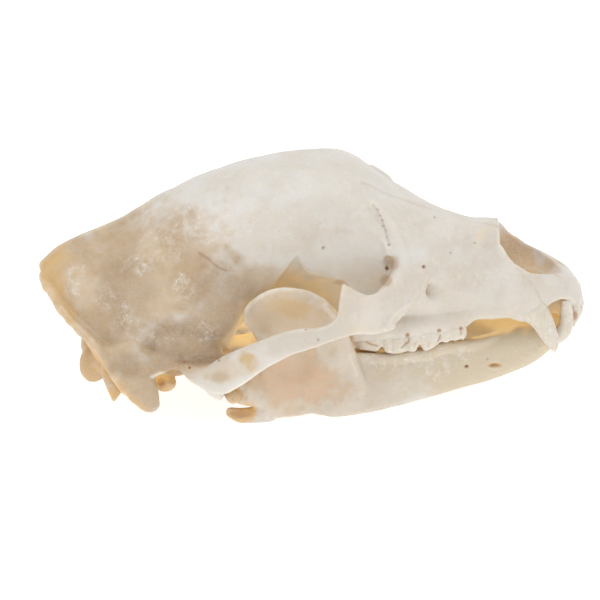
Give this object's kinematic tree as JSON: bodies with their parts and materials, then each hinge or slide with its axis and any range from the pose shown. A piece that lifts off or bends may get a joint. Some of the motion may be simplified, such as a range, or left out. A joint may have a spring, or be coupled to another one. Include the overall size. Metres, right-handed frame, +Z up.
{
  "type": "black bear skull",
  "caption": "Cleaned skull of a black bear lying on its lower jaw with the teeth closed: cranium with flared cheek arches and upper teeth, and the two halves of the lower jaw with theirs.",
  "frame": {"origin": "centre of the footprint of the whole skull, on the floor that the lower jaw rests on", "axes": "+X towards the nose, +Y towards the skull's left side, +Z up"},
  "size_m": [0.2744, 0.1662, 0.1253],
  "materials": {
    "cranium_bone": "dry bleached bone, off-white with tan braincase",
    "jaw_bone": "dry bleached bone, warm off-white"
  },
  "bodies": {
    "root": {"cranium": "cranium_bone", "mandible_left": "jaw_bone", "mandible_right": "jaw_bone"}
  },
  "joints": []
}
